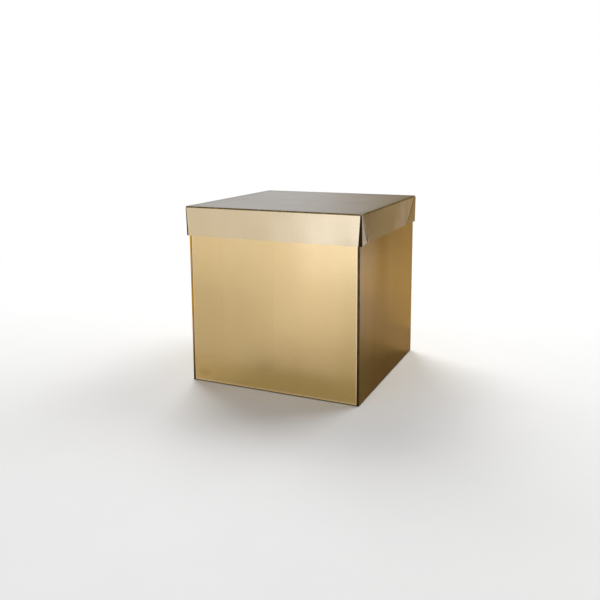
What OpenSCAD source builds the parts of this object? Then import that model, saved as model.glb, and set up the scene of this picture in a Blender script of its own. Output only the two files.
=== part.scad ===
// Explosion gift box. Four walls of foil-wrapped board turn on folds along the edges of the base,
// and a folded card lid holds them upright until it is lifted off.
// The origin is the centre of the underside, +Z is up and the front wall faces -Y.

/* [Box] */
// Outside width over opposite walls
box_w = 200; // [140:1:320]
// Overall height with the lid on
box_h = 200; // [120:1:320]

/* [Board and paper] */
// Thickness of the grey board
board_t = 1.6; // [1.2:0.1:2.4]
// Thickness of the gold foil paper
paper_t = 0.2; // [0.12:0.01:0.3]
// Thickness of the lining paper
lining_t = 0.15; // [0.1:0.01:0.25]
// Rounding of a wall's wrapped edges
edge_r = 0.6; // [0.4:0.05:0.75]
// Width of the foil paper that is turned in on a wall's inner face
turn_in = 15; // [8:1:25]
// Width of the foil paper that shows around a wall's lining
lining_margin = 4; // [2:0.5:6]
// Height of the bare strip between a wall's foot and its lining
lining_foot = 2; // [1:0.5:6]

/* [Gaps] */
// Gap between neighbouring walls at a corner
corner_gap = 0.3; // [0.2:0.05:0.8]
// Gap between the base board and the walls
base_gap = 0.4; // [0.3:0.05:1]

/* [Hinge folds] */
// Radius of the rounded paper fold that a wall turns on
fold_r = 0.8; // [0.6:0.05:0.9]
// Clearance between the fold and the wall's foot
fold_gap = 0.05; // [0.03:0.01:0.1]

/* [Lid] */
// Thickness of the lid's card
card_t = 0.8; // [0.5:0.05:1]
// Clearance between the lid's tucked tabs and the side walls
lid_clear = 1.6; // [0.5:0.05:2.5]
// Height of the front and back skirts
skirt_h = 32.4; // [24:0.2:48]
// Outer radius of the creases around the lid's top
crease_r = 1.2; // [1.1:0.05:2]
// How much shorter the side flaps are than the skirts
flap_short = 1.7; // [0:0.1:4]
// Distance of a flap's front upper corner from the front of the lid
flap_inset_front = 3.7; // [2:0.1:8]
// Distance of a flap's back upper corner from the back of the lid
flap_inset_back = 8; // [2:0.1:10]
// Run of the slope at a flap's front end
flap_cut_front = 16; // [4:1:20]
// Run of the slope at a flap's back end
flap_cut_back = 34; // [4:1:40]
// Length of a corner tab from the face of its skirt
tab_len = 50; // [44:1:60]
// Rise of a tab's lower edge towards its end
tab_rise = 5; // [0:0.5:8]
// Run of the rolled corner at the top of a skirt
corner_run_top = 1.4; // [1.2:0.1:2]
// Run of the rolled corner at the bottom of a skirt
corner_run_bottom = 3.5; // [3:0.1:4]

/* [Hidden] */
$fn = 64;
gold = [0.83, 0.70, 0.45];
champagne = [0.88, 0.80, 0.66];
board_grey = [0.55, 0.53, 0.50];
lining_dark = [0.10, 0.10, 0.11];

// A wrapped panel has paper on both faces, and a wall has its lining as well
panel_t = board_t + 2 * paper_t;
wall_t = panel_t + lining_t;
wall_top = box_h - card_t;
side_w = box_w;
front_w = box_w - 2 * (wall_t + corner_gap);
lining_start = fold_r + lining_foot;

// The base wrap's flat part ends inside the folds, just past their lowest lines
base_half = box_w / 2 - wall_t - base_gap;
wrap_half = box_w / 2 - 1.25 * fold_r;

// The flaps lie outside the tabs, so the lid is two cards wider than its clear width
lid_half = box_w / 2 + lid_clear + 2 * card_t;
lid_flat = lid_half - crease_r;
tab_plane = lid_half - card_t;
skirt_top = box_h - crease_r;
skirt_bottom = box_h - skirt_h;
tab_top = skirt_top - 0.2;
flap_front = lid_half - flap_inset_front;
flap_back = lid_half - flap_inset_back;

// The rolled corner is part of a cone that touches the skirt and the tab.
// Its tip lies on the line where those two planes meet.
corner_slope = (corner_run_bottom - corner_run_top) / (skirt_top - skirt_bottom);
tip_z = skirt_top + corner_run_top / corner_slope;
cone_tilt = atan(sqrt(2) * corner_slope);
cone_angle = asin(sin(cone_tilt) / sqrt(2));
cone_start = 0.85 * (tip_z - skirt_top);
cone_end = 1.1 * (tip_z - skirt_bottom);

function wall_w(i) = i % 2 == 0 ? front_w : side_w;
function corner_run(z) = corner_slope * (tip_z - z);
function skirt_end(z) = tab_plane - corner_run(z);

// Puts a piece drawn along X with its outer face at y = 0 on side i: front, right, back, left
module on_side(i, half) {
    rotate([0, 0, 90 * i])
        translate([0, -half, 0])
            children();
}

// A flat piece drawn in X and Z, from y = 0 inwards
module upright_xz(depth) {
    translate([0, depth, 0])
        rotate([90, 0, 0])
            linear_extrude(depth)
                children();
}

// A flat piece drawn in Y and Z, from x = 0 to the right
module upright_yz(depth) {
    rotate([90, 0, 90])
        linear_extrude(depth)
            children();
}

// A rectangle with round corners, centred in X and standing on y = 0
module round_rect(w, h, r) {
    translate([r - w / 2, 0])
        square([w - 2 * r, h]);
    translate([-w / 2, r])
        square([w, h - 2 * r]);
    for (x = [r - w / 2, w / 2 - r], y = [r, h - r])
        translate([x, y])
            circle(r);
}

// The outline of a wall panel, set in all round by the thickness of what covers it
module panel(w, set_in) {
    r = edge_r - set_in;
    d = panel_t - 2 * set_in;
    panel_w = w - 2 * set_in;
    panel_h = wall_top - set_in - fold_r;
    translate([0, set_in, fold_r])
        intersection() {
            linear_extrude(panel_h)
                round_rect(panel_w, d, r);
            translate([-panel_w / 2, d / 2, -2 * r])
                upright_yz(panel_w)
                    round_rect(d, panel_h + 2 * r, r);
        }
}

// The rounded fold along a wall's foot, or the groove that clears it
module fold_rod(w, r) {
    translate([0, fold_r, fold_r])
        rotate([0, 90, 0])
            cylinder(h = w, r = r, center = true);
}

module fold_groove(w) {
    fold_rod(w + 2, fold_r + fold_gap);
}

module wall_board(w) {
    difference() {
        panel(w, paper_t);
        fold_groove(w);
    }
}

module wall_wrap(w) {
    difference() {
        panel(w, 0);
        panel(w, paper_t);
        fold_groove(w);
        translate([turn_in - w / 2, paper_t + board_t, 0])
            cube([w - 2 * turn_in, 1, wall_top - turn_in]);
    }
}

module wall_lining(w) {
    translate([turn_in - w / 2, paper_t + board_t, lining_start])
        cube([w - 2 * turn_in, paper_t, wall_top - turn_in - lining_start]);
    translate([lining_margin - w / 2, panel_t, lining_start])
        cube([w - 2 * lining_margin, lining_t, wall_top - lining_margin - lining_start]);
}

// A quarter-round crease along the upper edge of a skirt or flap
module crease(w) {
    translate([0, crease_r, skirt_top])
        intersection() {
            rotate([0, 90, 0])
                difference() {
                    cylinder(h = w, r = crease_r, center = true);
                    cylinder(h = w + 2, r = crease_r - card_t, center = true);
                }
            translate([-w, -2 * crease_r, 0])
                cube([2 * w, 2 * crease_r, 2 * crease_r]);
        }
}

module skirt() {
    crease(2 * lid_flat);
    upright_xz(card_t)
        polygon([
            [-lid_flat, skirt_top],
            [lid_flat, skirt_top],
            [lid_flat, tab_top],
            [skirt_end(tab_top), tab_top],
            [skirt_end(skirt_bottom), skirt_bottom],
            [-skirt_end(skirt_bottom), skirt_bottom],
            [-skirt_end(tab_top), tab_top],
            [-lid_flat, tab_top]
        ]);
}

module flap() {
    flap_bottom = skirt_bottom + flap_short;
    translate([(flap_back - flap_front) / 2, 0, 0])
        crease(flap_front + flap_back);
    upright_xz(card_t)
        polygon([
            [-flap_front, skirt_top],
            [flap_back, skirt_top],
            [flap_back - flap_cut_back, flap_bottom],
            [flap_cut_front - flap_front, flap_bottom]
        ]);
}

// The cone behind the rolled corner, set in from the card's outer face
module corner_cone(set_in) {
    lost_r = set_in / cos(cone_angle);
    translate([tab_plane, 0, tip_z])
        rotate(a = cone_tilt, v = [1, 1, 0])
            translate([0, 0, -cone_end])
                cylinder(
                    h = cone_end - cone_start,
                    r1 = cone_end * tan(cone_angle) - lost_r,
                    r2 = cone_start * tan(cone_angle) - lost_r
                );
}

module rolled_corner() {
    reach = 2 * corner_run_bottom;
    intersection() {
        difference() {
            corner_cone(0);
            corner_cone(card_t);
        }
        translate([0, -1, 0])
            upright_xz(reach)
                polygon([
                    [skirt_end(tab_top), tab_top],
                    [tab_plane + 1, tab_top],
                    [tab_plane + 1, skirt_bottom],
                    [skirt_end(skirt_bottom), skirt_bottom]
                ]);
        translate([tab_plane - reach, 0, 0])
            upright_yz(reach + 1)
                polygon([
                    [-1, tab_top],
                    [corner_run(tab_top), tab_top],
                    [corner_run(skirt_bottom), skirt_bottom],
                    [-1, skirt_bottom]
                ]);
    }
}

// The tab at the right end of the front skirt
module tab() {
    rolled_corner();
    translate([tab_plane - card_t, 0, 0])
        upright_yz(card_t)
            polygon([
                [corner_run(tab_top), tab_top],
                [tab_len, tab_top],
                [tab_len, skirt_bottom + tab_rise],
                [corner_run(skirt_bottom), skirt_bottom]
            ]);
}

module base_wrap() {
    color(gold) {
        translate([-wrap_half, -wrap_half, 0])
            cube([2 * wrap_half, 2 * wrap_half, paper_t]);
        for (i = [0:3])
            on_side(i, box_w / 2)
                fold_rod(wall_w(i), fold_r);
    }
}

module base_board() {
    color(board_grey)
        translate([-base_half, -base_half, paper_t])
            cube([2 * base_half, 2 * base_half, board_t]);
}

module base_lining() {
    color(lining_dark)
        translate([-base_half, -base_half, paper_t + board_t])
            cube([2 * base_half, 2 * base_half, lining_t]);
}

module wall_board_on(i) {
    color(board_grey)
        on_side(i, box_w / 2)
            wall_board(wall_w(i));
}

module wall_wrap_on(i) {
    color(gold)
        on_side(i, box_w / 2)
            wall_wrap(wall_w(i));
}

module wall_lining_on(i) {
    color(lining_dark)
        on_side(i, box_w / 2)
            wall_lining(wall_w(i));
}

module front_wall_board() wall_board_on(0);
module front_wall_wrap() wall_wrap_on(0);
module front_wall_lining() wall_lining_on(0);
module right_wall_board() wall_board_on(1);
module right_wall_wrap() wall_wrap_on(1);
module right_wall_lining() wall_lining_on(1);
module back_wall_board() wall_board_on(2);
module back_wall_wrap() wall_wrap_on(2);
module back_wall_lining() wall_lining_on(2);
module left_wall_board() wall_board_on(3);
module left_wall_wrap() wall_wrap_on(3);
module left_wall_lining() wall_lining_on(3);

module lid_top() {
    color(champagne)
        translate([-lid_flat, -lid_flat, box_h - card_t])
            cube([2 * lid_flat, 2 * lid_flat, card_t]);
}

module lid_front_skirt() {
    color(champagne)
        on_side(0, lid_half)
            skirt();
}

module lid_back_skirt() {
    mirror([0, 1, 0])
        lid_front_skirt();
}

module lid_right_flap() {
    color(champagne)
        on_side(1, lid_half)
            flap();
}

module lid_left_flap() {
    mirror([1, 0, 0])
        lid_right_flap();
}

module lid_front_right_tab() {
    color(champagne)
        on_side(0, lid_half)
            tab();
}

module lid_front_left_tab() {
    mirror([1, 0, 0])
        lid_front_right_tab();
}

module lid_back_right_tab() {
    mirror([0, 1, 0])
        lid_front_right_tab();
}

module lid_back_left_tab() {
    mirror([1, 0, 0])
        lid_back_right_tab();
}

base_wrap();
base_board();
base_lining();
front_wall_board();
front_wall_wrap();
front_wall_lining();
right_wall_board();
right_wall_wrap();
right_wall_lining();
back_wall_board();
back_wall_wrap();
back_wall_lining();
left_wall_board();
left_wall_wrap();
left_wall_lining();
lid_top();
lid_front_skirt();
lid_back_skirt();
lid_left_flap();
lid_right_flap();
lid_front_left_tab();
lid_front_right_tab();
lid_back_left_tab();
lid_back_right_tab();
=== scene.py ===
import math

import bmesh
import bpy
from mathutils import Euler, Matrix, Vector


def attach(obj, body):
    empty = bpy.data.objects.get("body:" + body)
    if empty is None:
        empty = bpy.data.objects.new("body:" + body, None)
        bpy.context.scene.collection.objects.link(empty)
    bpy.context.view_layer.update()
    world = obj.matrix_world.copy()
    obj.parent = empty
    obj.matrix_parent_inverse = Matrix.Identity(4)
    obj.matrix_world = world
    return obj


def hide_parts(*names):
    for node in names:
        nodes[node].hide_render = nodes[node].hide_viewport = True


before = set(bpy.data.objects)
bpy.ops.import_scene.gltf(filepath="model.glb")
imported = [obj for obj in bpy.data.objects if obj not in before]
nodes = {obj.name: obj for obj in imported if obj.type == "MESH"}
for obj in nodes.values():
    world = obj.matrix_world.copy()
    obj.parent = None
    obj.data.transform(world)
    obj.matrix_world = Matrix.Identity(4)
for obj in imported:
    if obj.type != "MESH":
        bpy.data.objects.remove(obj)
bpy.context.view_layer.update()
scene = bpy.context.scene
scene.view_settings.view_transform = "Standard"

MM = 0.001

# Sizes of the lid, in millimetres, as in the part's source

BOX_H = 200.0
LID_HALF = 103.2
CARD_T = 0.8
CREASE_R = 1.2
SKIRT_H = 32.4
FLAP_SHORT = 1.7
FLAP_INSET_FRONT = 3.7
FLAP_INSET_BACK = 8.0
FLAP_CUT_FRONT = 16.0
FLAP_CUT_BACK = 34.0
TAB_LEN = 50.0
TAB_RISE = 5.0
TAB_DROP = 0.2
CORNER_RUN_TOP = 1.4
CORNER_RUN_BOTTOM = 3.5
LID_FLAT = LID_HALF - CREASE_R
TAB_PLANE = LID_HALF - CARD_T
SKIRT_TOP = BOX_H - CREASE_R
SKIRT_BOTTOM = BOX_H - SKIRT_H
CORNER_SLOPE = (CORNER_RUN_BOTTOM - CORNER_RUN_TOP) / (SKIRT_TOP - SKIRT_BOTTOM)


def corner_run(z):
    """How far the rolled corner reaches at a height, wider towards the bottom."""
    return CORNER_RUN_TOP + CORNER_SLOPE * (SKIRT_TOP - z)


def lerp(a, b, t):
    return a + (b - a) * t


def smooth(t):
    """An eased step from 0 to 1."""
    t = min(1.0, max(0.0, t))
    return t * t * (3 - 2 * t)


# Materials. Noise is in features per metre, and bump heights are in metres.

STREAK_TONE = 0.3
HAZE_LOW, HAZE_HIGH = -0.025, 0.035
MARK_DULLNESS = 0.08
RIDGE_HALF = 1.2 * MM
RIDGE_PAINTED_SHADE = 0.06
WAVE_HEIGHT = 2.0e-4
STREAK_HEIGHT = 4.0e-5
RIDGE_HEIGHT = 2.5e-5
PEEL_HEIGHT = 5.5e-5
FIBRE_HEIGHT = 2.0e-5
FIBRE_DULLNESS = 0.06


class Nodes:
    """A material's node tree, with short calls for the nodes that the papers and foils share."""

    def __init__(self, name):
        self.material = bpy.data.materials.new(name)
        self.material.use_nodes = True
        self.tree = self.material.node_tree
        self.bsdf = self.tree.nodes["Principled BSDF"]
        self.coords = self.tree.nodes.new("ShaderNodeTexCoord").outputs["Object"]

    def add(self, kind, **settings):
        node = self.tree.nodes.new(kind)
        for key, value in settings.items():
            setattr(node, key, value)
        return node

    def link(self, out, socket):
        self.tree.links.new(out, socket)

    def noise(self, stretch, detail=2.0, rough=0.5, shift=(0, 0, 0), turn=0.0):
        """Noise with about stretch[i] features per metre along axis i, turned about z."""
        mapping = self.add("ShaderNodeMapping", vector_type="TEXTURE")
        mapping.inputs["Scale"].default_value = [1 / value for value in stretch]
        mapping.inputs["Location"].default_value = shift
        mapping.inputs["Rotation"].default_value = (0, 0, turn)
        self.link(self.coords, mapping.inputs["Vector"])
        node = self.add("ShaderNodeTexNoise")
        node.inputs["Scale"].default_value = 1.0
        node.inputs["Detail"].default_value = detail
        node.inputs["Roughness"].default_value = rough
        self.link(mapping.outputs["Vector"], node.inputs["Vector"])
        return node.outputs["Fac"]

    def along(self, axis):
        """The place along an axis, in metres."""
        split = self.add("ShaderNodeSeparateXYZ")
        self.link(self.coords, split.inputs[0])
        return split.outputs[axis]

    def span(self, value, low, high, from_low=0.25, from_high=0.75):
        """Takes a value from one range to another, and holds it at the ends."""
        node = self.add("ShaderNodeMapRange")
        node.inputs["From Min"].default_value = from_low
        node.inputs["From Max"].default_value = from_high
        node.inputs["To Min"].default_value = low
        node.inputs["To Max"].default_value = high
        self.link(value, node.inputs["Value"])
        return node.outputs["Result"]

    def ramp(self, axis, start, end, low=0.0, high=1.0):
        """A mask that runs from low to high between two places along an axis, in millimetres."""
        return self.span(self.along(axis), low, high, start * MM, end * MM)

    def fold(self):
        """The fold attribute of the lid's card, which says how much painted shade its creases, rolled
        corners, flap ends and top border get.
        """
        return self.add("ShaderNodeAttribute", attribute_name="fold").outputs["Fac"]

    def math(self, operation, first, second=None):
        node = self.add("ShaderNodeMath", operation=operation)
        for socket, value in zip(node.inputs, (first, second)):
            if isinstance(value, float):
                socket.default_value = value
            elif value is not None:
                self.link(value, socket)
        return node.outputs[0]

    def blend(self, factor, first, second):
        node = self.add("ShaderNodeMix", data_type="RGBA")
        for socket, value in ((node.inputs[6], first), (node.inputs[7], second)):
            if isinstance(value, tuple):
                socket.default_value = (*value, 1.0)
            else:
                self.link(value, socket)
        self.link(factor, node.inputs[0])
        return node.outputs[2]

    def bump(self, height, distance, normal=None):
        node = self.add("ShaderNodeBump")
        node.inputs["Distance"].default_value = distance
        self.link(height, node.inputs["Height"])
        if normal is not None:
            self.link(normal, node.inputs["Normal"])
        return node.outputs["Normal"]


def foil(name, light, deep, rough, edge_tint, marks=(), tones=(), lines=(), streaks=(45, 45, 3),
         streak_depth=0.05):
    """Metallised foil on board: fine orange peel, faint board waves and streaks, and slight colour drift.

    marks are pairs of a tone and a function for the mask that it shows in, and they dull the foil too; all
    but the rubbed spot are painted shade, painted highlights and painted reflections. tones are such pairs
    that only change its colour, and all of them are painted reflection and painted shade.
    lines are the places along x, in millimetres, and the strengths of faint upright ridges, each with a
    faint painted shade along it.
    """
    n = Nodes(name)
    n.bsdf.inputs["Metallic"].default_value = 1.0
    n.bsdf.inputs["Specular Tint"].default_value = (*edge_tint, 1.0)
    streak = tuple(STREAK_TONE * value for value in deep)
    drift = n.noise((9, 9, 6), detail=3.0)
    tone = n.blend(n.span(drift, 0.0, 1.0), light, deep)
    ribs = n.noise(streaks, shift=(0.1, 0.4, 0.9), turn=0.3)
    tone = n.blend(n.span(ribs, 0.0, streak_depth), tone, streak)
    # Tones: painted reflection and painted shade
    for other_tone, mask in tones:
        tone = n.blend(mask(n), tone, other_tone)
    haze = n.noise((25, 25, 40), detail=4.0, shift=(0.3, 0.1, 0.2))
    dull = n.span(haze, rough + HAZE_LOW, rough + HAZE_HIGH)
    ridges = []
    for x, strength in lines:
        offset = n.math("ABSOLUTE", n.math("SUBTRACT", n.along("X"), x * MM))
        ridges.append(n.span(offset, strength, 0.0, 0.0, RIDGE_HALF))
        # Painted shade: a faint darker line along each ridge
        tone = n.blend(n.math("MULTIPLY", ridges[-1], RIDGE_PAINTED_SHADE), tone, streak)
    # Marks: painted shade, highlights and reflections, and a rubbed spot, all of which also dull the foil
    for mark_tone, mask in marks:
        mark_mask = mask(n)
        tone = n.blend(mark_mask, tone, mark_tone)
        dull = n.math("ADD", dull, n.math("MULTIPLY", mark_mask, MARK_DULLNESS))
    n.link(tone, n.bsdf.inputs["Base Color"])
    n.link(dull, n.bsdf.inputs["Roughness"])
    wave = n.noise((11, 11, 7), detail=1.0, shift=(0.7, 0.2, 0.5))
    normal = n.bump(wave, WAVE_HEIGHT)
    normal = n.bump(ribs, STREAK_HEIGHT, normal)
    for ridge in ridges:
        normal = n.bump(ridge, RIDGE_HEIGHT, normal)
    peel = n.noise((480, 480, 480), detail=1.0)
    normal = n.bump(peel, PEEL_HEIGHT, normal)
    n.link(normal, n.bsdf.inputs["Normal"])
    return n.material


def paper(name, light, deep, rough):
    """Uncoated paper or board with fibres and a mottled tone."""
    n = Nodes(name)
    mottle = n.noise((60, 60, 60), detail=5.0, rough=0.6)
    n.link(n.blend(n.span(mottle, 0.0, 1.0), light, deep), n.bsdf.inputs["Base Color"])
    fibres = n.noise((900, 900, 900), detail=4.0, rough=0.65)
    n.link(n.span(fibres, rough - FIBRE_DULLNESS, rough + FIBRE_DULLNESS), n.bsdf.inputs["Roughness"])
    n.link(n.bump(fibres, FIBRE_HEIGHT), n.bsdf.inputs["Normal"])
    return n.material


# Masks for the marks and tones of the foils, which paint light and shade on them, all but the rubbed spot.
# Each takes a material's Nodes.


def painted_card_shade(n):
    """Painted shade on the creases of the lid's card and wherever else its fold attribute rises towards 1,
    broken up along their length.
    """
    patchy = n.span(n.noise((160, 160, 160), detail=3.0), 0.8, 1.2)
    return n.math("MINIMUM", n.math("MULTIPLY", n.fold(), patchy), 1.0)


def painted_corner_shade(n):
    """Painted shade on the rolled corners of the lid's card, where its fold attribute is between 1 and 2.
    """
    return n.span(n.fold(), 0.0, 1.0, 1.0, 1.6)


def flap_bands(n):
    """Painted reflection on the paler back part of the lid's side flaps, which starts on a slant and has a
    few soft bands.
    """
    slant = n.math("SUBTRACT", n.along("Y"), n.math("MULTIPLY", n.along("Z"), 0.8))
    back = n.span(slant, 0.0, 0.48, -137.0 * MM, -115.0 * MM)
    bands = n.span(n.noise((1, 55, 4), detail=1.0, shift=(0.2, 0.6, 0.1)), 0.4, 1.0, 0.42, 0.54)
    return n.math("MULTIPLY", back, bands)


def flap_front(n):
    """Painted shade: the deeper tone of the lid's side flaps towards their front end."""
    return n.ramp("Y", -100.0, -25.0, 0.75, 0.0)


def front_edges(n):
    """The narrow front and back edges of the side walls, where the foil is drawn round the board; the left
    wall's get orange painted reflection there, the right wall's near-black painted shade.
    """
    reach = n.math("ABSOLUTE", n.along("Y"))
    edge = n.span(reach, 0.0, 1.0, 99.35 * MM, 99.6 * MM)
    patchy = n.span(n.noise((40, 40, 90), detail=3.0), 0.85, 1.0)
    return n.math("MULTIPLY", edge, patchy)


def edge_feet(n):
    """The lower part of the same edges, where painted shade darkens towards the foot."""
    return n.math("MULTIPLY", front_edges(n), n.ramp("Z", 8.0, 60.0, 1.0, 0.0))


def dull_spot(n):
    """A small rubbed spot near the front wall's lower left corner."""
    across = n.math("MULTIPLY", n.math("ADD", n.along("X"), 85.0 * MM), 0.55)
    up = n.math("SUBTRACT", n.along("Z"), 11.0 * MM)
    away = n.math("SQRT", n.math("ADD", n.math("MULTIPLY", across, across), n.math("MULTIPLY", up, up)))
    spot = n.span(away, 0.5, 0.0, 0.0, 6.0 * MM)
    return n.math("MULTIPLY", spot, n.ramp("Y", -50.0, 0.0, 1.0, 0.0))


def far_end(n):
    """The last few millimetres of a side wall's face towards its back edge, where an orange painted
    reflection goes.
    """
    return n.ramp("Y", 95.0, 97.5, 0.0, 0.85)


def far_half(n):
    """Painted reflection on the paler part of a side wall's face towards its back edge."""
    return n.ramp("Y", -20.0, 90.0, 0.0, 0.9)


def near_end(n):
    """Painted reflection on the paler part of a side wall's face towards its front edge."""
    return n.math("MULTIPLY", n.ramp("Y", -98.0, -30.0, 1.0, 0.0), n.ramp("Z", 40.0, 150.0, 0.0, 0.9))


def middle_band(n):
    """A band of painted shade, upright on a side wall's face, under the lid."""
    away = n.math("ABSOLUTE", n.math("ADD", n.along("Y"), 25.0 * MM))
    band = n.span(away, 0.5, 0.0, 5.0 * MM, 28.0 * MM)
    return n.math("MULTIPLY", band, n.ramp("Z", 80.0, 120.0))


def wall_ends(n):
    """A painted highlight on the upright ends of the front and back walls."""
    return n.span(n.math("ABSOLUTE", n.along("X")), 0.0, 1.0, 96.1 * MM, 96.8 * MM)


def wall_foot(n):
    """A painted highlight along the lower edge of the front and back walls."""
    return n.ramp("Z", 2.4, 3.6, 0.8, 0.0)


def base_folds(n):
    """Painted shade in the folds along the edges of the base that the walls turn on."""
    reach = n.math("MAXIMUM", n.math("ABSOLUTE", n.along("X")), n.math("ABSOLUTE", n.along("Y")))
    edge = n.span(reach, 0.0, 1.0, 97.8 * MM, 98.6 * MM)
    patchy = n.span(n.noise((90, 90, 90), detail=3.0), 0.8, 1.0)
    return n.math("MULTIPLY", edge, patchy)


# Gold foil of the walls and the base

GOLD_LIGHT, GOLD_DEEP, GOLD_ROUGH = (0.69, 0.507, 0.255), (0.65, 0.467, 0.224), 0.24
GOLD_GRAZING, RIGHT_GRAZING = (0.25, 0.19, 0.21), (0.25, 0.185, 0.185)
# Orange-gold painted reflection on the side walls' edges, and near-black painted shade there and in the
# base's folds
EDGE_PAINTED_REFLECTION, PAINTED_BLACK_SHADE = (0.50, 0.27, 0.02), (0.020, 0.014, 0.007)
# Painted highlight, the rubbed spot's tone, and an orange painted reflection
PAINTED_HIGHLIGHT, RUBBED, FAR_EDGE_PAINTED_REFLECTION = (0.80, 0.62, 0.36), (0.40, 0.29, 0.05), (0.68, 0.43, 0.09)
# Painted reflections, paler towards a side wall's ends, and a band of painted shade
NEAR_PAINTED_REFLECTION, FAR_PAINTED_REFLECTION, BAND_PAINTED_SHADE = (0.67, 0.515, 0.33), (0.76, 0.55, 0.245), (0.56, 0.40, 0.19)
GOLD_FRONT = foil("gold_foil_front", GOLD_LIGHT, GOLD_DEEP, GOLD_ROUGH, GOLD_GRAZING,
                  # Painted highlight on the ends and foot, and a rubbed spot
                  [(PAINTED_HIGHLIGHT, wall_ends), (PAINTED_HIGHLIGHT, wall_foot), (RUBBED, dull_spot)],
                  lines=[(-60.0, 1.0), (2.3, 0.5)])
GOLD_LEFT = foil("gold_foil_left", GOLD_LIGHT, GOLD_DEEP, GOLD_ROUGH, GOLD_GRAZING,
                 # Orange painted reflection on the edges, and painted shade at their foot
                 [(EDGE_PAINTED_REFLECTION, front_edges), (PAINTED_BLACK_SHADE, edge_feet)])
GOLD_RIGHT = foil("gold_foil_right", GOLD_LIGHT, GOLD_DEEP, GOLD_ROUGH, RIGHT_GRAZING,
                  # Orange painted reflection at the back edge, and near-black painted shade on both edges
                  [(FAR_EDGE_PAINTED_REFLECTION, far_end), (PAINTED_BLACK_SHADE, front_edges)],
                  # Painted reflection towards both ends, and a band of painted shade
                  [(NEAR_PAINTED_REFLECTION, near_end), (FAR_PAINTED_REFLECTION, far_half), (BAND_PAINTED_SHADE, middle_band)],
                  streak_depth=0.13)
GOLD_BASE = foil("gold_foil_base", GOLD_LIGHT, GOLD_DEEP, GOLD_ROUGH, GOLD_GRAZING,
                 # Near-black painted shade in the base's folds
                 [(PAINTED_BLACK_SHADE, base_folds)])

# Champagne foil of the lid

CARD_ROUGH, DULL_ROUGH = 0.22, 0.42
# Painted shade on the lid's creases, and near-black painted shade on its rolled corners
CREASE_SHADE, ROLLED_CORNER_SHADE = (0.105, 0.070, 0.018), (0.022, 0.017, 0.010)
CARD_SHADE = [(CREASE_SHADE, painted_card_shade), (ROLLED_CORNER_SHADE, painted_corner_shade)]
# Painted reflection on the flaps' back part, and painted shade towards their front end
FLAP_PAINTED_REFLECTION, FLAP_PAINTED_SHADE = (0.75, 0.60, 0.50), (0.46, 0.36, 0.24)
CHAMPAGNE = foil("champagne_foil", (0.60, 0.483, 0.307), (0.56, 0.448, 0.279), CARD_ROUGH,
                 (0.40, 0.37, 0.30), CARD_SHADE)
CHAMPAGNE_TOP = foil("champagne_foil_top", (0.64, 0.54, 0.40), (0.60, 0.50, 0.37), CARD_ROUGH,
                     (0.54, 0.558, 0.594), CARD_SHADE, streaks=(5, 50, 50), streak_depth=0.12)
CHAMPAGNE_FLAP = foil("champagne_foil_flap", (0.60, 0.465, 0.295), (0.55, 0.42, 0.26), CARD_ROUGH,
                      (0.40, 0.345, 0.27), CARD_SHADE,
                      # Painted reflection bands and painted shade at the front
                      [(FLAP_PAINTED_REFLECTION, flap_bands), (FLAP_PAINTED_SHADE, flap_front)], streak_depth=0.12)
# A darker copy of the champagne foil for the back skirt's tabs, as painted shade
CHAMPAGNE_PAINTED_SHADE = foil("champagne_foil_painted_shade", (0.54, 0.41, 0.24), (0.50, 0.38, 0.21), CARD_ROUGH,
                      (0.40, 0.33, 0.25))
# A rougher copy of the champagne foil for the front skirt's tabs, whose lighter tone is painted light
CHAMPAGNE_DULL_PAINTED_LIGHT = foil("champagne_foil_dull_painted_light", (0.68, 0.56, 0.43), (0.63, 0.52, 0.40), DULL_ROUGH,
                      (0.62, 0.56, 0.56))

# Papers and boards

CARD_BACK = paper("card_back", (0.62, 0.60, 0.56), (0.54, 0.52, 0.48), 0.85)
CARD_EDGE = paper("card_edge", (0.62, 0.54, 0.38), (0.52, 0.45, 0.32), 0.8)
BOARD = paper("grey_board", (0.34, 0.33, 0.31), (0.24, 0.235, 0.22), 0.9)
LINING = paper("lining_paper", (0.030, 0.030, 0.033), (0.018, 0.018, 0.020), 0.72)

# The CAD nodes take finished materials in place of their plain ones, by name or by what they end with

NAMED_FINISH = {"left_wall_wrap": GOLD_LEFT, "right_wall_wrap": GOLD_RIGHT, "base_wrap": GOLD_BASE}
KIND_FINISH = {"wrap": GOLD_FRONT, "board": BOARD, "lining": LINING}

for node_name in nodes:
    kind = node_name.rsplit("_", 1)[-1]
    finish = NAMED_FINISH.get(node_name, KIND_FINISH.get(kind, CHAMPAGNE))
    for slot in nodes[node_name].material_slots:
        slot.material = finish


# The lid's card. Each panel is its outer face as a grid, which is then given the card's thickness.

ARC_STEPS = 10
ROWS = 18
ROW_EASING = 1.5
TAB_STEPS = 8
SKIRT_STEPS = 84
FLAP_STEPS = 72
TOP_STEPS = 40
WELD_DISTANCE = 1e-6
# Strengths of painted shade in the card's fold attribute
CREASE_MARK = 1.0
CORNER_MARK = 2.0
FLAP_END_SHADE = 0.7
FLAP_CREASE_MARK = 0.62
TOP_BORDER_SHADE = 0.5

# Places in a card's list of materials, after the foil of its outer face
INNER_FACE, CUT_EDGE, DULL_PAINTED_LIGHT_TAB, PAINTED_SHADE_TAB = 1, 2, 3, 4


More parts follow.
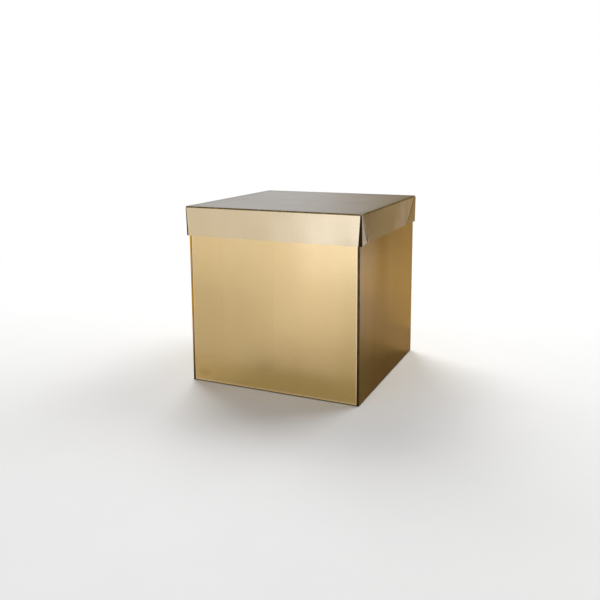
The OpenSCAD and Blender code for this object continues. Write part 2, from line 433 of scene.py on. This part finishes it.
class Card:
    """A folded sheet built from rows of points, in millimetres, with its outer side outward."""

    def __init__(self):
        self.mesh = bmesh.new()
        self.fold = self.mesh.verts.layers.float.new("fold")

    def strip(self, columns):
        """Columns of (x, y, z, fold) from top to bottom, in an order that puts the outer side outward."""
        made = []
        for column in columns:
            made.append([self.mesh.verts.new(Vector(point[:3]) * MM) for point in column])
            for vert, point in zip(made[-1], column):
                vert[self.fold] = point[3]
        for left, right in zip(made, made[1:]):
            for row in range(len(left) - 1):
                self.mesh.faces.new((left[row], left[row + 1], right[row + 1], right[row]))

    def thicken(self):
        """Adds the inner side and the cut edge, which meet the outer side at hard edges."""
        mesh = self.mesh
        bmesh.ops.remove_doubles(mesh, verts=mesh.verts, dist=WELD_DISTANCE)
        mesh.normal_update()
        outer, rim = list(mesh.faces), [edge for edge in mesh.edges if edge.is_boundary]
        inner = {}
        for vert in list(mesh.verts):
            depth = CARD_T * MM * vert.calc_shell_factor()
            inner[vert] = mesh.verts.new(vert.co - vert.normal * depth)
        for face in outer:
            back = mesh.faces.new([inner[vert] for vert in reversed(face.verts)])
            back.material_index = INNER_FACE
        for edge in rim:
            loop = edge.link_loops[0]
            first, second = loop.vert, loop.link_loop_next.vert
            cut = mesh.faces.new((second, first, inner[first], inner[second]))
            cut.material_index = CUT_EDGE
        for face in mesh.faces:
            is_cut = face.material_index == CUT_EDGE
            face.smooth = not is_cut
            if is_cut:
                for edge in face.edges:
                    edge.smooth = False

    def finish(self, name, replaced, face_foil):
        """Makes the card a piece of the lid that stands in for its CAD nodes."""
        self.thicken()
        data = bpy.data.meshes.new(name)
        self.mesh.to_mesh(data)
        self.mesh.free()
        for material in (face_foil, CARD_BACK, CARD_EDGE, CHAMPAGNE_DULL_PAINTED_LIGHT, CHAMPAGNE_PAINTED_SHADE):
            data.materials.append(material)
        piece = bpy.data.objects.new(name, data)
        scene.collection.objects.link(piece)
        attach(piece, "lid")
        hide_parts(*replaced)


def crease_points(share, half_top, half_bottom, out, mark=CREASE_MARK):
    """The quarter-round fold at the top of a panel: points from the lid's top down to the panel.

    share is the place along the fold, as a part of its half-length, which goes from half_top at the
    lid's top to half_bottom at the panel.
    """
    points = []
    for k in range(ARC_STEPS):
        turn = math.pi / 2 * k / ARC_STEPS
        along = share * lerp(half_top, half_bottom, k / ARC_STEPS)
        z = SKIRT_TOP + CREASE_R * math.cos(turn)
        points.append((along, out - CREASE_R + CREASE_R * math.sin(turn), z, mark))
    return points


def dents(x, z, spots):
    """Sum of soft round spots: (x, z, reach along x, reach along z, height).

    A dent has a negative height.
    """
    total = 0.0
    for middle_x, middle_z, reach_x, reach_z, height in spots:
        total += height * math.exp(-(((x - middle_x) / reach_x) ** 2) - (((z - middle_z) / reach_z) ** 2))
    return total


# Dents and bulges of the skirts and flaps, in millimetres, as dents() takes them. A flap's x is along it.
FRONT_SPOTS = [
    (88.0, 175.0, 11.0, 7.0, 0.18),
    (72.0, 171.0, 13.0, 6.0, 0.10),
    (-92.0, 180.0, 11.0, 9.0, -0.15),
    (-80.0, 170.0, 14.0, 6.0, 0.22),
    (10.0, 168.0, 30.0, 9.0, -0.15),
]
BACK_SPOTS = [
    (84.0, 172.0, 14.0, 8.0, -0.30),
    (-60.0, 169.0, 24.0, 8.0, 0.28),
    (-93.0, 177.0, 8.0, 8.0, -0.30),
    (20.0, 170.0, 30.0, 9.0, -0.22),
]
RIGHT_SPOTS = [(20.0, 178.0, 30.0, 12.0, 0.18)]
LEFT_SPOTS = [(-25.0, 176.0, 26.0, 12.0, 0.20)]

# How the skirts depart from flat, in millimetres. Rates are in radians per millimetre.
# Waves: (height, rate, share of the skirt's phase)
SKIRT_WAVES = ((0.28, 0.047, 1.0), (0.16, 0.113, 2.1))
WAVES_END, WAVES_FADE = 97.0, 12.0
BEAD_HEIGHT, BEAD_DROP, BEAD_REACH = 0.05, 1.2, 0.9
DENT_FADE = 6.0
CREASE_FADE = 0.4
RAGGED_SKIRT, RAGGED_END, RAGGED_FADE = 0.22, 96.0, 8.0
RAGGED_RATE, RAGGED_SLOW_RATE, RAGGED_SLOW_SHARE = 0.21, 0.037, 1.3
TAB_MARGIN = 0.01
TAB_TOP = SKIRT_TOP - TAB_DROP


def heights(top, bottom):
    """Heights of a column's points from top to bottom, closer together near the top."""
    return [lerp(top, bottom, (row / ROWS) ** ROW_EASING) for row in range(ROWS + 1)]


def swell(x, z, spots, phase):
    """How far a skirt stands out of its plane: waves, a bead below the crease, and dents."""
    drop = SKIRT_TOP - z
    wave = sum(height * math.sin(x * rate + share * phase) for height, rate, share in SKIRT_WAVES)
    inside = smooth((WAVES_END - abs(x)) / WAVES_FADE)
    bead = BEAD_HEIGHT * math.exp(-(((drop - BEAD_DROP) / BEAD_REACH) ** 2)) * inside
    pressed = dents(x, z, spots) * smooth(drop / DENT_FADE)
    return smooth(drop / SKIRT_H) * wave * inside + bead + pressed


def skirt_columns(spots, phase):
    """Columns of (x, inset, z, fold) of the skirt between its corners, from left to right."""
    columns = []
    for step in range(SKIRT_STEPS + 1):
        share = 2 * step / SKIRT_STEPS - 1
        foot = share * (TAB_PLANE - corner_run(SKIRT_BOTTOM))
        ragged = RAGGED_SKIRT * math.sin(foot * RAGGED_RATE + phase)
        ragged *= math.sin(foot * RAGGED_SLOW_RATE + RAGGED_SLOW_SHARE * phase)
        ragged *= smooth((RAGGED_END - abs(foot)) / RAGGED_FADE)
        top = TAB_TOP if step in (0, SKIRT_STEPS) else SKIRT_TOP
        points = []
        for z in heights(top, SKIRT_BOTTOM + ragged):
            x = share * (TAB_PLANE - corner_run(z))
            # Painted shade reaches a little way down from the crease
            mark = CREASE_MARK * smooth(1 - (SKIRT_TOP - z) / CREASE_FADE)
            points.append((x, -swell(x, z, spots, phase), z, mark))
        columns.append(points)
    return columns


def tab_columns(end):
    """Columns of a tab and its rolled corner, from the tab's cut end to the skirt.

    end is -1 at the left and 1 at the right.
    """
    columns = []
    for step in range(TAB_STEPS + 1):
        t = step / TAB_STEPS
        points = []
        for z in heights(TAB_TOP, SKIRT_BOTTOM + TAB_RISE * (1 - t)):
            points.append((end * TAB_PLANE, lerp(TAB_LEN, corner_run(z), t), z, 0.0))
        columns.append(points)
    for step in range(1, ARC_STEPS):
        turn = math.pi / 2 * step / ARC_STEPS
        points = []
        for z in heights(TAB_TOP, SKIRT_BOTTOM):
            run = corner_run(z)
            x = end * (TAB_PLANE - run + run * math.cos(turn))
            # The rolled corner gets near-black painted shade
            points.append((x, run - run * math.sin(turn), z, CORNER_MARK))
        columns.append(points)
    return columns


def skirt_card(name, side, spots, phase, replaced):
    """A full-width skirt with its rolled corners and both tucked tabs.

    side is -1 at the front and 1 at the back.
    """
    card = Card()
    placed = []
    for points in tab_columns(-1) + skirt_columns(spots, phase) + tab_columns(1)[::-1]:
        placed.append([(x, side * (LID_HALF - inset), z, fold) for x, inset, z, fold in points])
    card.strip(placed if side < 0 else placed[::-1])
    for face in card.mesh.faces:
        if all(abs(vert.co.x) > (TAB_PLANE - TAB_MARGIN) * MM for vert in face.verts):
            # Front tabs take the rougher foil with painted light, back tabs the darker foil of painted
            # shade
            face.material_index = DULL_PAINTED_LIGHT_TAB if side < 0 else PAINTED_SHADE_TAB
    crease = []
    for step in range(SKIRT_STEPS + 1):
        share = 2 * step / SKIRT_STEPS - 1
        bend = crease_points(share, LID_FLAT, TAB_PLANE - CORNER_RUN_TOP, LID_HALF)
        bend.append((share * (TAB_PLANE - CORNER_RUN_TOP), LID_HALF, SKIRT_TOP, CREASE_MARK))
        crease.append([(x, side * out, z, fold) for x, out, z, fold in bend])
    card.strip(crease if side < 0 else crease[::-1])
    card.finish(name, replaced, CHAMPAGNE)


# How the flaps depart from flat, in millimetres. Rates are in radians per millimetre.
RAGGED_FLAP = 0.18
FLAP_LIFT = 0.22
FLAP_WAVE, FLAP_WAVE_RATE = 0.12, 0.06
FLAP_RIPPLE, RIPPLE_RATE, RIPPLE_SLANT = 0.14, 0.33, 0.3
RIPPLE_START, RIPPLE_FADE = 20.0, 20.0

# Radians over a flap's length, and dents that reach their full depth in a fifth of its height
RAGGED_FLAP_RATE, RAGGED_FLAP_SLOW_RATE = 37, 9
DENT_RISE = 5

# Places along a flap, as shares of its length
LIFT_END = 0.06
CUT_FRONT, CUT_BACK = [0.0, 0.005], [0.976, 0.986, 1.0]


def flap_card(name, side, spots, phase, replaced):
    """A side flap with sloped ends, whose cut ends get painted shade. side is 1 at the right, -1 at the
    left.
    """
    card = Card()
    front, back = FLAP_INSET_FRONT - LID_HALF, LID_HALF - FLAP_INSET_BACK
    bottom = SKIRT_BOTTOM + FLAP_SHORT
    shaded_ends = CUT_FRONT[:1] + CUT_BACK[1:]
    inner = [step / FLAP_STEPS for step in range(1, FLAP_STEPS - 1)]
    columns = []
    for t in CUT_FRONT + inner + CUT_BACK:
        start = lerp(front, back, t)
        points = crease_points(1.0, start, start, LID_HALF, FLAP_CREASE_MARK)
        # Painted shade along the flap's front and back cut ends
        cut = FLAP_END_SHADE if t in shaded_ends else 0.0
        ragged = RAGGED_FLAP * math.sin(t * RAGGED_FLAP_RATE + phase)
        ragged *= math.sin(t * RAGGED_FLAP_SLOW_RATE + phase)
        ends = smooth((LIFT_END - t) / LIFT_END) + smooth((t - (1 - LIFT_END)) / LIFT_END)
        for row in range(ROWS + 1):
            fall = (row / ROWS) ** ROW_EASING
            z = lerp(SKIRT_TOP, bottom + ragged, fall)
            y = lerp(front + FLAP_CUT_FRONT * fall, back - FLAP_CUT_BACK * fall, t)
            low = smooth(fall)
            wave = FLAP_WAVE + FLAP_WAVE * math.sin(y * FLAP_WAVE_RATE + phase)
            ripple = FLAP_RIPPLE * (1 + math.sin((y - RIPPLE_SLANT * z) * RIPPLE_RATE))
            wave += ripple * smooth((y - RIPPLE_START) / RIPPLE_FADE)
            pressed = max(0.0, dents(y, z, spots)) * smooth(fall * DENT_RISE)
            out = LID_HALF + FLAP_LIFT * low * ends + low * wave + pressed
            points.append((y, out, z, cut))
        columns.append([(side * out, y, z, fold) for y, out, z, fold in points])
    card.strip(columns if side > 0 else columns[::-1])
    card.finish(name, replaced, CHAMPAGNE_FLAP)


# How the top departs from flat, in millimetres. Rates are in radians per millimetre.
TOP_FADE, TOP_SAG, TOP_WAVE = 30.0, 0.25, 0.12
TOP_RATE_X, TOP_PHASE_X = 0.05, 1.0
TOP_RATE_Y, TOP_PHASE_Y = 0.043, 0.4
TOP_BORDER_REACH = 8.0


def top_card(name, replaced):
    """The lid's top, very slightly hollow between its creases."""
    card = Card()
    columns = []
    for i in range(TOP_STEPS + 1):
        x = lerp(-LID_FLAT, LID_FLAT, i / TOP_STEPS)
        points = []
        for j in range(TOP_STEPS + 1):
            y = lerp(LID_FLAT, -LID_FLAT, j / TOP_STEPS)
            inset = LID_FLAT - max(abs(x), abs(y))
            wave = math.sin(x * TOP_RATE_X + TOP_PHASE_X) * math.sin(y * TOP_RATE_Y + TOP_PHASE_Y)
            sag = TOP_SAG + TOP_WAVE * wave
            # Painted shade towards the top's border
            border_shade = TOP_BORDER_SHADE * smooth(1 - inset / TOP_BORDER_REACH)
            points.append((x, y, BOX_H - smooth(inset / TOP_FADE) * sag, border_shade))
        columns.append(points)
    card.strip(columns)
    card.finish(name, replaced, CHAMPAGNE_TOP)


skirt_card("lid_front_skirt_card", side=-1, spots=FRONT_SPOTS, phase=0.9,
           replaced=["lid_front_skirt", "lid_front_left_tab", "lid_front_right_tab"])
skirt_card("lid_back_skirt_card", side=1, spots=BACK_SPOTS, phase=2.3,
           replaced=["lid_back_skirt", "lid_back_left_tab", "lid_back_right_tab"])
flap_card("lid_right_flap_card", side=1, spots=RIGHT_SPOTS, phase=0.6, replaced=["lid_right_flap"])
flap_card("lid_left_flap_card", side=-1, spots=LEFT_SPOTS, phase=1.7, replaced=["lid_left_flap"])
top_card("lid_top_card", replaced=["lid_top"])


# The floor, which fades into the white background away from the object

DIFFUSE_SKY = 0.34
FLOOR_REACH = 8.0
FLOOR_ROUGH = 0.9
FADE_START = 0.34
FADE_END = 0.95


def seen_directly(tree):
    """1 for what the camera, a reflection or clear glass looks at, 0 for the light that falls on things."""
    path = tree.nodes.new("ShaderNodeLightPath")
    seen = path.outputs["Is Camera Ray"]
    for ray in ("Is Glossy Ray", "Is Transmission Ray"):
        larger = tree.nodes.new("ShaderNodeMath")
        larger.operation = "MAXIMUM"
        tree.links.new(seen, larger.inputs[0])
        tree.links.new(path.outputs[ray], larger.inputs[1])
        seen = larger.outputs[0]
    return seen


def floor_material():
    """Pale paper that turns to plain white away from the object, where it is seen directly."""
    n = Nodes("floor_paper")
    mottle = n.noise((14, 14, 14), detail=4.0)
    n.link(n.blend(n.span(mottle, 0.0, 1.0), (0.91, 0.91, 0.905), (0.895, 0.895, 0.89)),
           n.bsdf.inputs["Base Color"])
    n.bsdf.inputs["Roughness"].default_value = FLOOR_ROUGH
    n.bsdf.inputs["Specular IOR Level"].default_value = 0.0
    distance = n.add("ShaderNodeVectorMath", operation="LENGTH")
    n.link(n.coords, distance.inputs[0])
    fade = n.add("ShaderNodeMapRange", interpolation_type="SMOOTHSTEP")
    fade.inputs["From Min"].default_value = FADE_START
    fade.inputs["From Max"].default_value = FADE_END
    n.link(distance.outputs["Value"], fade.inputs["Value"])
    share = n.math("MULTIPLY", fade.outputs["Result"], seen_directly(n.tree))
    white = n.add("ShaderNodeEmission")
    mix = n.add("ShaderNodeMixShader")
    n.link(share, mix.inputs["Fac"])
    n.link(n.bsdf.outputs["BSDF"], mix.inputs[1])
    n.link(white.outputs["Emission"], mix.inputs[2])
    n.link(mix.outputs["Shader"], n.tree.nodes["Material Output"].inputs["Surface"])
    return n.material


def sheet(name, corners, material):
    """A flat sheet of the set."""
    mesh = bmesh.new()
    mesh.faces.new([mesh.verts.new(corner) for corner in corners])
    data = bpy.data.meshes.new(name)
    mesh.to_mesh(data)
    mesh.free()
    data.materials.append(material)
    piece = bpy.data.objects.new(name, data)
    scene.collection.objects.link(piece)
    return piece


floor_corners = [(-1, -1), (1, -1), (1, 1), (-1, 1)]
sheet("studio_floor", [(x * FLOOR_REACH, y * FLOOR_REACH, 0.0) for x, y in floor_corners], floor_material())


# Cards that only show as reflections in the foil: painted reflections of light and shade that the set
# doesn't have


def flag(name, corners, material):
    """A card that only reflections see, as a painted reflection."""
    card = sheet(name, corners, material)
    for ray in ("camera", "diffuse", "transmission", "shadow"):
        setattr(card, "visible_" + ray, False)


def shaded(name, axis, start, end, first, second, easing="SMOOTHSTEP"):
    """A plain sheet that glows, though it is no lamp, as a painted reflection, with a tone that runs from
    the first to the second along an axis.
    """
    n = Nodes(name)
    across = n.add("ShaderNodeMapRange", interpolation_type=easing)
    across.inputs["From Min"].default_value = start
    across.inputs["From Max"].default_value = end
    n.link(n.along(axis), across.inputs["Value"])
    glow = n.add("ShaderNodeEmission")
    n.link(n.blend(across.outputs["Result"], first, second), glow.inputs["Color"])
    n.link(glow.outputs["Emission"], n.tree.nodes["Material Output"].inputs["Surface"])
    return n.material


CAMERA_PLACE = (0.3234, -0.7416, 0.2855)
FRONT_FACE, RIGHT_FACE = -0.1, 0.1
FACE_GAP = 0.0002
CARD_HEIGHT = 0.001


def in_front(wall_x, y):
    """The place on the floor, at y, that the camera sees reflected in the front wall at wall_x."""
    behind = 2 * FRONT_FACE - CAMERA_PLACE[1]
    reach = (behind - y) / (behind - FRONT_FACE)
    return (lerp(CAMERA_PLACE[0], wall_x, reach), y)


def lying(plan):
    """Corners of a card that lies just above the floor."""
    return [(x, y, CARD_HEIGHT) for x, y in plan]


def standing(left, right, y, top):
    """Corners of a card that stands upright on the floor at y."""
    return [(left, y, 0.0), (right, y, 0.0), (right, y, top), (left, y, top)]


# Painted reflections: sheets that glow though they are no lamps, and papers that stand in for shade
SHADED_WHITE = shaded("shaded_white", "X", -0.42, 0.02, (1.0, 1.0, 1.0), (0.38, 0.25, 0.06))
BROWN_PAINTED_SHADE = paper("brown_painted_shade", (0.34, 0.28, 0.20), (0.30, 0.25, 0.18), 0.9)
FLOOR_GLOW = shaded("floor_glow", "Y", -0.12, -0.42, (0.44, 0.41, 0.25), (0.95, 0.96, 0.99), "LINEAR")
BRIGHT_BAND = shaded("bright_band", "Y", -0.12, -0.40, (0.46, 0.435, 0.36), (1.13, 1.14, 1.19), "LINEAR")
UPPER_SHADE = shaded("upper_shade", "X", -0.45, -0.25, (0.96, 0.97, 1.0), (0.755, 0.81, 0.90))
FOOT_GLOW = shaded("foot_glow", "X", -0.115, -0.03, (0.60, 0.555, 0.43), (0.42, 0.385, 0.27))
FAINT_PAINTED_SHADE = paper("faint_painted_shade", (0.83, 0.82, 0.78), (0.79, 0.78, 0.74), 0.9)
PALE_PAINTED_SHADE = paper("pale_painted_shade", (0.68, 0.68, 0.80), (0.63, 0.63, 0.74), 0.9)
TAN_PAINTED_SHADE = paper("tan_painted_shade", (0.465, 0.46, 0.44), (0.405, 0.405, 0.385), 0.9)

# The cards behind the box and beside it, which the lid's top and flaps and the right wall reflect
NEAR_RIGHT = RIGHT_FACE + FACE_GAP
TAN_FRONT, SIDE_REACH = -0.12, 0.40
SEAM_NEAR, SEAM_FAR = (NEAR_RIGHT, 0.085), (SIDE_REACH, 0.257)
PALE_BACK = 0.36
flag("top_flag", standing(left=-0.44, right=0.14, y=0.85, top=0.9), SHADED_WHITE)
flag("flap_flag", standing(left=0.40, right=0.80, y=0.80, top=0.45), BROWN_PAINTED_SHADE)
flag("right_floor_flag",
     lying([(NEAR_RIGHT, TAN_FRONT), (SIDE_REACH, TAN_FRONT), SEAM_FAR, SEAM_NEAR]), TAN_PAINTED_SHADE)
flag("far_floor_flag",
     lying([SEAM_NEAR, SEAM_FAR, (SIDE_REACH, PALE_BACK), (0.225, PALE_BACK), (0.16, 0.21),
            (NEAR_RIGHT, 0.18)]), PALE_PAINTED_SHADE)

# The cards in front, which the front wall reflects. Their edges follow places along that wall.
NEAR_FRONT = FRONT_FACE - FACE_GAP
FOOT_STRIP = -0.165
BAND_EDGE, UPPER_EDGE, LEFT_EDGE = -0.80, -1.02, -0.52
BEYOND_LEFT, BEYOND_RIGHT = -0.13, 0.14
BAND_LEFT, BAND_RIGHT = 0.003, 0.078
UPPER_LEFT = 0.055
flag("foot_floor_flag",
     lying([in_front(BEYOND_LEFT, FOOT_STRIP), (RIGHT_FACE, FOOT_STRIP),
            (RIGHT_FACE, NEAR_FRONT), in_front(BEYOND_LEFT, NEAR_FRONT)]), FOOT_GLOW)
flag("bright_floor_flag",
     lying([in_front(BAND_LEFT, BAND_EDGE), in_front(BAND_RIGHT, BAND_EDGE),
            in_front(BAND_RIGHT, FOOT_STRIP), in_front(BAND_LEFT, FOOT_STRIP)]), BRIGHT_BAND)
flag("middle_floor_flag",
     lying([in_front(BAND_RIGHT, BAND_EDGE), in_front(BEYOND_RIGHT, BAND_EDGE),
            (RIGHT_FACE, FOOT_STRIP), in_front(BAND_RIGHT, FOOT_STRIP)]), FLOOR_GLOW)
flag("upper_floor_flag",
     lying([in_front(UPPER_LEFT, UPPER_EDGE), in_front(BEYOND_RIGHT, UPPER_EDGE),
            in_front(BEYOND_RIGHT, BAND_EDGE), in_front(UPPER_LEFT, BAND_EDGE)]), UPPER_SHADE)
flag("left_floor_flag",
     lying([(-0.62, LEFT_EDGE), in_front(BAND_LEFT, LEFT_EDGE),
            in_front(BAND_LEFT, FOOT_STRIP), (-0.45, FOOT_STRIP)]), FAINT_PAINTED_SHADE)


# Lamps: two soft boxes above, which no reflection shows, and two faint cool panels in front

SOFTBOX_TARGET, SOFTBOX_SIZE, SOFTBOX_SPREAD = (0.0, 0.0, 0.05), 1.2, 180.0
PANEL_Y, PANEL_HEIGHT, PANEL_SPREAD = -0.58, 0.8, 90.0
PANEL_TINT = (0.92, 1.05, 1.50)


def lamp(name, place, target, width, height, watts):
    """A rectangular area light aimed at a target, hidden from the camera."""
    data = bpy.data.lights.new(name, "AREA")
    data.shape = "RECTANGLE"
    data.size = width
    data.size_y = height
    data.energy = watts
    piece = bpy.data.objects.new(name, data)
    piece.location = place
    aim = Vector(target) - Vector(place)
    piece.rotation_euler = aim.to_track_quat("-Z", "Y").to_euler()
    piece.visible_camera = False
    scene.collection.objects.link(piece)
    return piece


def softbox(name, place, watts):
    """A large soft lamp that no reflection shows."""
    piece = lamp(name, place, SOFTBOX_TARGET, SOFTBOX_SIZE, SOFTBOX_SIZE, watts)
    piece.data.spread = math.radians(SOFTBOX_SPREAD)
    piece.visible_glossy = False


def panel(name, x, target_x, z, width, watts):
    """A faint cool panel in front of the box, which the foil may reflect."""
    piece = lamp(name, (x, PANEL_Y, z), (target_x, 0.0, z), width, PANEL_HEIGHT, watts)
    piece.data.spread = math.radians(PANEL_SPREAD)
    piece.data.color = PANEL_TINT


softbox("left_softbox", place=(-0.9, 0.95, 1.75), watts=29.0)
softbox("right_softbox", place=(0.8, 1.15, 1.75), watts=18.0)
panel("front_panel_left", x=-0.465, target_x=-0.465, z=0.42, width=0.57, watts=0.08)
panel("front_panel_right", x=-0.0236, target_x=0.121, z=0.435, width=0.29, watts=0.1545)


# White surroundings, dimmed for the light that falls on things

world = bpy.data.worlds.new("studio")
scene.world = world
world.use_nodes = True
sky = world.node_tree.nodes["Background"]
sky.inputs["Color"].default_value = (1.0, 1.0, 1.0, 1.0)
level = world.node_tree.nodes.new("ShaderNodeMapRange")
level.inputs["To Min"].default_value = DIFFUSE_SKY
level.inputs["To Max"].default_value = 1.0
world.node_tree.links.new(seen_directly(world.node_tree), level.inputs["Value"])
world.node_tree.links.new(level.outputs["Result"], sky.inputs["Strength"])


# Camera, fitted to the corners of the box in the photograph

FOCAL_PIXELS = 691.6
FRAME_PIXELS = 600.0
AXIS_ROW = 234.5
SENSOR_WIDTH = 36.0
YAW, PITCH, ROLL = math.radians(-24.23), math.radians(8.85), math.radians(-0.35)

camera_data = bpy.data.cameras.new("camera")
camera_data.sensor_width = SENSOR_WIDTH
camera_data.lens = SENSOR_WIDTH * FOCAL_PIXELS / FRAME_PIXELS
camera_data.shift_y = (AXIS_ROW - FRAME_PIXELS / 2) / FRAME_PIXELS
camera = bpy.data.objects.new("camera", camera_data)
camera.location = CAMERA_PLACE
turn = Euler((math.pi / 2 - PITCH, 0.0, -YAW), "XYZ").to_matrix()
camera.rotation_euler = (turn @ Euler((0.0, 0.0, ROLL)).to_matrix()).to_euler()
scene.collection.objects.link(camera)
scene.camera = camera
